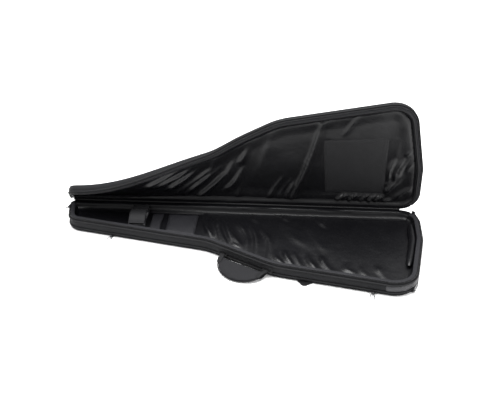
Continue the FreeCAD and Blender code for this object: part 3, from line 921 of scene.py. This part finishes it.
def build_pocket():
    """Outer pocket on the lid's back: gusset, crowned panel, welt round it and a zip along its upper side."""
    x0, x1, w0, w1 = POCKET
    outline = rounded_outline([(x0, w0), (x1, w0), (x1, w1), (x0, w1)], 34)
    inward = outline.mean(0) - outline
    n = len(outline)

    def level(q, share):
        crown = 2.2 * smooth(share * 2.2)
        return 42.0 + float(crown) + 1.0 * fbm(q[0] / 70.0, q[1] / 60.0, 6.6) * min(1, share * 4)

    verts, faces = dome(outline, 12, level)
    panel = new_mesh("lid_pocket_panel_cloth", on_lid(verts), faces, SHELL)
    side = []
    profile = [(1.5, 30.2), (0.4, 31.2), (-0.4, 34), (-0.5, 37), (0.0, 40), (0.3, 42.0)]
    unit = inward / np.linalg.norm(inward, axis=1, keepdims=True)
    for k in range(n):
        for inset, h in profile:
            bulge = 0.7 * noise.noise(Vector((k / 7.0, h / 9.0, 3.3)))
            p = outline[k] + unit[k] * (inset - bulge)
            side.append((p[0], p[1], h))
    gusset = new_mesh("lid_pocket_gusset_cloth", on_lid(side), lattice(n, len(profile), close_rows=True),
            SHELL)
    ring = []
    for k in range(n):
        for a in circle(8):
            p = outline[k] + unit[k] * (0.2 - 1.9 * math.cos(a))
            ring.append((p[0], p[1], 42.0 + 1.9 * math.sin(a)))
    welt = new_mesh("lid_pocket_welt", on_lid(ring), lattice(n, 8, True, True), SHELL_TRIM)
    xs = np.linspace(x0 + 42, x1 - 42, 60)
    zip_rows = [(w1 + 0.3, 32.6), (w1 + 1.0, 33.4), (w1 + 1.1, 35.0), (w1 + 1.9, 35.6), (w1 + 1.9, 36.4),
            (w1 + 1.1, 37.0), (w1 + 1.0, 38.4), (w1 + 0.3, 39.2)]
    strip = [(x, w, h) for x in xs for w, h in zip_rows]
    zip_strip = new_mesh("lid_pocket_zip_strip", on_lid(strip), lattice(len(xs), len(zip_rows)), TAPE)
    row = (np.column_stack([xs, np.full(len(xs), w1 + 1.9), np.full(len(xs), 36.0)]),
            same((0.0, 1.0, 0.0), xs))
    teeth = stitches("lid_pocket_zip_teeth", [row], TOOTH_PITCH, COIL, on_lid, 2.4, 0.6, across=True)
    inner = np.array([p + (outline.mean(0) - p) / np.linalg.norm(outline.mean(0) - p) * 9 for p in outline])
    loop = np.vstack([inner, inner[:1]])
    heights = [level(p, 0.06) + 0.1 for p in loop]
    seam = stitches("lid_pocket_stitching", [(np.column_stack([loop, heights]), same(UP, loop))], 5.0,
            THREAD, on_lid)
    for o in (panel, gusset, welt, zip_strip, teeth, seam):
        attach(o, "lid")
    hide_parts("lid_pocket_panel")
    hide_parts("lid_pocket_gusset")
    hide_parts("lid_pocket_zip")


# ---- pads, strap, handle and tabs
def build_pads():
    def settle(co):
        """Fine drape: shallow hollows across the pad."""
        out = co.copy()
        out[:, 2] += [0.0009 * noise.noise(Vector((p[0] * 18, p[1] * 26, 1.7))) for p in co]
        return out

    puff("neck_cushion_pad", "neck_cushion", CUSHION, "base", voxel=0.0045, cap=0.004, shrink=0.0012,
            shape=settle)
    puff("neck_rest_pad", "neck_rest_block", CUSHION, "base", voxel=0.0045, cap=0.003, shape=settle)
    def roll_zone(p):
        return (p[:, 0] > 1100) & (p[:, 1] > 66) & (p[:, 1] < 304)

    def roll_wobble(s, inset, height, p):
        t = (p[1] - 66) / 238.0 * 2 - 1
        size = 0.15 + 0.85 * math.sqrt(max(0.0, 1 - abs(t) ** 5)) + 0.07 * noise.noise(Vector((p[1] / 26.0,
                height / 20.0, 5.5)))
        return (inset - 29) * (1 - size), (35.4 - height) * (1 - size)

    section = [(29 + 11.5 * math.cos(a), 35.4 + 9.6 * math.sin(a)) for a in np.linspace(0, 2 * math.pi,
            17)[:-1]]
    bumper = sweep("end_bumper_cushion", section, on_base, LINING, keep=roll_zone, wobble=roll_wobble,
            closed=True)
    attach(bumper, "base")
    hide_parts("end_bumper_pad")
    puff("carry_handle_pad", "handle_grip_pad", PAD, "handle", voxel=0.003, cap=0.003, shrink=0.0006,
            passes=4)
    puff("stowed_strap_pads", "backpack_strap_pads", PAD, "base", voxel=0.004, cap=0.0006, passes=1)
    tails = []
    for w in (100, 205):
        pts = smooth_path([(586, w, 6), (620, w, 5.4), (660, w, 6.4), (714, w, 6)], 6)
        tails.append(ribbon(pts, ACROSS, 25.0, 2.0))
    verts, faces = merge(tails)
    obj = new_mesh("stowed_webbing_tails", on_base(verts), faces, WEBBING)
    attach(obj, "base")
    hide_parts("strap_webbing_tails")


def build_neck_strap():
    """Soft strap over the neck: stitched round its edge, hinged at the far end, fastened at the near end."""
    path = smooth_path([(253, 39.4, 47.0), (253, 43, 48.6), (253, 52, 49.6), (253, 66, 57.2),
            (253, 82, 60.2), (253, 98, 57.2), (253, 112, 49.4), (253, 121, 47.2), (253, 129, 46.6)], 6)
    widths = []
    for p in path:
        near = min(1.0, max(0.0, (131.0 - p[1]) / 9.0))
        widths.append(54.0 * (0.62 + 0.38 * math.sqrt(1 - (1 - near) ** 2)))
    strap = ribbon(path, ALONG, widths, 3.0, 16)
    obj = new_mesh("neck_strap_band", on_base(strap[0]), strap[1], STRAP)
    top = path + np.array([0, 0, 1.55])
    rows = []
    for side in (-1, 1):
        line = top.copy()
        line[:, 0] += side * (np.array(widths) / 2 - 4.5)
        rows.append((line[4:-3], same(UP, line[4:-3])))
    cross = np.array([(x, 112.0, 51.2) for x in np.linspace(230, 276, 12)])
    rows.append((cross, same((0.0, 0.35, 0.94), cross)))
    seam = stitches("neck_strap_stitching", rows, 3.6, THREAD, on_base, 2.2, 0.3)
    out = rounded_outline([(230, 117), (276, 117), (276, 128), (230, 128)], 3)
    verts, faces = dome(out, 4, lambda q, s: 45.6 - 0.5 * min(1, s * 5))
    hook = new_mesh("neck_strap_hooks", on_base(verts), faces, HOOKS)
    out = rounded_outline([(228, 114), (278, 114), (278, 129), (228, 129)], 3)
    verts, faces = dome(out, 5, lambda q, s: 44.1 + 0.7 * min(1, s * 6))
    loops = new_mesh("neck_rest_loop_pile", on_base(verts), faces, HOOKS)
    root = smooth_path([(253, 17.5, 44.5), (253, 21, 46.8), (253, 28, 48.4), (253, 35, 48.0),
            (253, 40.5, 46.9)], 5)
    root_verts, root_faces = ribbon(root, ALONG, 54.0, 2.6, 16)
    root_obj = new_mesh("neck_strap_root", on_base(root_verts), root_faces, STRAP)
    for o in (obj, seam, hook):
        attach(o, "neck_strap")
    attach(root_obj, "base")
    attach(loops, "base")
    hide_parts("neck_strap_flap")
    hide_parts("neck_strap_hook_patch")
    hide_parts("neck_strap_loop_patch")


def side_frame(i, along):
    a = np.array(OUTLINE[i], float)
    b = np.array(OUTLINE[(i + 1) % len(OUTLINE)], float)
    u = (b - a) / np.linalg.norm(b - a)
    n = np.array([u[1], -u[0]])
    if n @ (a + u * along - INSIDE) < 0:
        n = -n
    return a + u * along, u, n


def on_side(i, along):
    """Placing in a side's own axes: along the side, out of the bag, up."""
    p, u, n = side_frame(i, along)

    def place(points):
        q = np.asarray(points, float)
        flat = p + np.outer(q[:, 0], u) + np.outer(q[:, 1], n)
        return on_base(np.column_stack([flat, q[:, 2]]))

    return place


def on_handle(points):
    q = np.asarray(points, float)
    c, s = math.cos(math.radians(HANDLE_DROOP)), math.sin(math.radians(HANDLE_DROOP))
    y = q[:, 1] * c + q[:, 2] * s
    z = -q[:, 1] * s + q[:, 2] * c
    return on_side(HANDLE_SIDE, HANDLE_ALONG)(np.column_stack([q[:, 0], y + HANDLE_OUT, z + HANDLE_Z]))


def build_handle():
    loops, rows = [], []
    for side in (-1, 1):
        turn = [(GRIP_OUT - 4, -5.6), (GRIP_OUT - 12, -6.4), (14, -4.8), (6, -3.6), (0.5, -3.7),
                (-3.4, -1.4), (-3.3, 1.8), (0.5, 3.7), (6, 4.0), (14, 5.6), (22, 7.1), (30, 7.0), (36, 6.0),
                (39, 3.2)]
        pts = smooth_path([(side * (HANDLE_SPAN - 2 - 0.26 * max(0.0, y)), y, z) for y, z in turn], 5)
        loops.append(ribbon(pts, ALONG, 15.0, 1.9))
        for dx in (-5.2, 5.2):
            line = pts[45:] + np.array([dx, 0, 1.1])
            rows.append((line, same(UP, line)))
    verts, faces = merge(loops)
    webbing = new_mesh("carry_handle_webbing", on_handle(verts), faces, WEBBING)
    seam = stitches("carry_handle_stitching", rows, 3.4, THREAD, on_handle, 2.2, 0.3)
    rise, half = 42.0, 74.0
    radius = (half * half + rise * rise) / (2 * rise)
    swing = math.asin(half / radius)
    bulge = [(radius * math.sin(a), 44 - radius + radius * math.cos(a)) for a in np.linspace(swing, -swing,
            16)[1:-1]]
    rim = rounded_outline([(-half, 2), (-half, -17), (half, -17), (half, 2)] + bulge, 5, 3.0)
    count = len(rim)
    ring = []
    for k in range(count):
        t = rim[(k + 1) % count] - rim[k - 1]
        t = t / np.linalg.norm(t)
        out = np.array([t[1], -t[0]])
        for a in circle(7):
            q = rim[k] + out * (0.9 + 1.5 * math.cos(a))
            ring.append((q[0], q[1] + GRIP_OUT, 1.5 * math.sin(a)))
    faces = lattice(count, 7, True, True)
    binding = new_mesh("carry_handle_binding", on_handle(ring), faces, SHELL_TRIM)
    for o in (webbing, seam, binding):
        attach(o, "handle")
    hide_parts("handle_webbing")

    plates, threads = [], []
    for side in (-1, 1):
        place = on_side(HANDLE_SIDE, HANDLE_ALONG + side * HANDLE_SPAN)
        out = rounded_outline([(-17, -1.5), (17, -1.5), (17, 15), (-17, 15)], 3, 2.0)
        v, f = dome(out, 5, lambda q, s: 0.6 + 1.9 * min(1, s * 4))
        plates.append((place([(p[0], p[2], HANDLE_Z + p[1]) for p in v]), f))
        for y0 in (-14, 14):
            pts = smooth_path([(y0, 0.8, HANDLE_Z + 5), (y0, 4.5, HANDLE_Z + 3.4),
                    (y0, 8.9, HANDLE_Z + 1.2), (y0, 8.6, HANDLE_Z - 1.6), (y0, 4.6, HANDLE_Z - 2.2),
                    (y0, 1.6, HANDLE_Z - 0.4)], 4)
            v, f = ribbon(pts, ALONG, 5.0, 1.6, 8)
            plates.append((place(v), f))
        rod = smooth_path([(-16.5, HANDLE_OUT, HANDLE_Z), (0, HANDLE_OUT, HANDLE_Z),
                (16.5, HANDLE_OUT, HANDLE_Z)], 4)
        v, f = ribbon(rod, ACROSS, 3.6, 3.6, 8)
        plates.append((place(v), f))
        box = np.array([(-14, 1.5), (14, 1.5), (14, 12), (-14, 12), (-14, 1.5)], float)
        dense = np.vstack([np.linspace(box[k], box[k + 1], 8)[:-1] for k in range(4)] + [box[4:]])
        line = place(np.column_stack([dense[:, 0], np.full(len(dense), 2.6), HANDLE_Z + dense[:, 1]])) * 1000
        n = side_frame(HANDLE_SIDE, 0)[2]
        threads.append((line, same((n[0], -n[1], 0.0), line)))
    verts, faces = merge(plates)
    tabs = new_mesh("handle_anchor_webbing", verts, faces, WEBBING)
    box_seam = stitches("handle_anchor_stitching", threads, 3.2, THREAD, lambda v: np.asarray(v) / 1000,
            2.0, 0.3)
    for o in (tabs, box_seam):
        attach(o, "base")
    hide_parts("handle_anchor_tabs")


def build_tabs():
    near = math.dist(OUTLINE[3], OUTLINE[4]) - 102
    parts, rows = [], []
    tri = rounded_outline([(-26, -1), (26, -1), (5, 20), (-5, 20)], 4, 2.0)
    for place in (on_side(3, near), on_side(0, 790)):
        top = dome(tri, 6, lambda q, s: 1.2 + 1.4 * min(1, s * 5) - 0.03 * max(0, q[1]))
        low = dome(tri, 6, lambda q, s: 1.2 - 0.9 * min(1, s * 5))
        for v, f in (top, (low[0], [face[::-1] for face in low[1]])):
            parts.append((place(v), f))
        inner = rounded_outline([(-19, 2), (19, 2), (3, 16.5), (-3, 16.5)], 2, 2.0)
        line = place(np.column_stack([inner, np.full(len(inner), 2.2)])) * 1000
        rows.append((line, same(UP, line)))
    verts, faces = merge(parts)
    tabs = new_mesh("strap_anchor_webbing", verts, faces, WEBBING)
    seam = stitches("strap_anchor_stitching", rows, 3.2, THREAD, lambda v: np.asarray(v) / 1000, 2.0, 0.3)
    for o in (tabs, seam):
        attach(o, "base")
    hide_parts("strap_anchor_tabs")


def build_details():
    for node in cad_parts:
        if "puller" in node:
            paint(node, WIRE)
        elif "slider" in node:
            paint(node, SLIDER)
    paint("neck_strap_pin", SLIDER)
    paint("ladder_lock_buckles", PLASTIC)


# ---- stage, lights, camera
def build_stage():
    size = 8.0
    mesh = bpy.data.meshes.new("floor")
    mesh.from_pydata([(-size, -size, 0), (size, -size, 0), (size, size, 0), (-size, size, 0)], [],
            [(0, 1, 2, 3)])
    floor = add_object("floor", mesh)
    mat = bpy.data.materials.new("floor_paper")
    mat.use_nodes = True
    bsdf = mat.node_tree.nodes["Principled BSDF"]
    set_inputs(bsdf, Base_Color=(0.93, 0.93, 0.93, 1), Roughness=0.9, Specular_IOR_Level=0.1)
    mesh.materials.append(mat)

    world = bpy.data.worlds.new("studio")
    bpy.context.scene.world = world
    world.use_nodes = True
    bg = world.node_tree.nodes["Background"]
    set_inputs(bg, Color=(1, 1, 1, 1), Strength=0.5)

    def area(name, loc, target, size_x, size_y, power):
        light = bpy.data.lights.new(name, "AREA")
        light.shape = "RECTANGLE"
        light.size = size_x
        light.size_y = size_y
        light.energy = power
        obj = add_object(name, light)
        obj.location = loc
        obj.rotation_euler = (Vector(target) - Vector(loc)).to_track_quat("-Z", "Y").to_euler()

    area("overhead", (0.0, 0.5, 2.9), (0.0, 0.1, 0.0), 3.4, 2.2, 190)
    area("key", (-1.3, -0.6, 1.9), (-0.1, 0.1, 0.1), 0.7, 0.7, 26)
    area("side", (1.9, -1.2, 1.5), (0.3, 0.1, 0.25), 0.7, 1.2, 30)

    cam = bpy.data.cameras.new("camera")
    cam.lens = 54.67
    cam.sensor_width = 36
    obj = add_object("camera", cam)
    obj.location = (0.1544, -1.9712, 1.4431)
    obj.rotation_euler = (math.radians(90 - 32.358), 0, math.radians(3.36))
    bpy.context.scene.camera = obj
    bpy.context.scene.view_settings.view_transform = "Standard"


build_base()
build_base_lining()
build_lid()
build_pocket()
build_pads()
build_neck_strap()
build_handle()
build_tabs()
build_details()
build_stage()
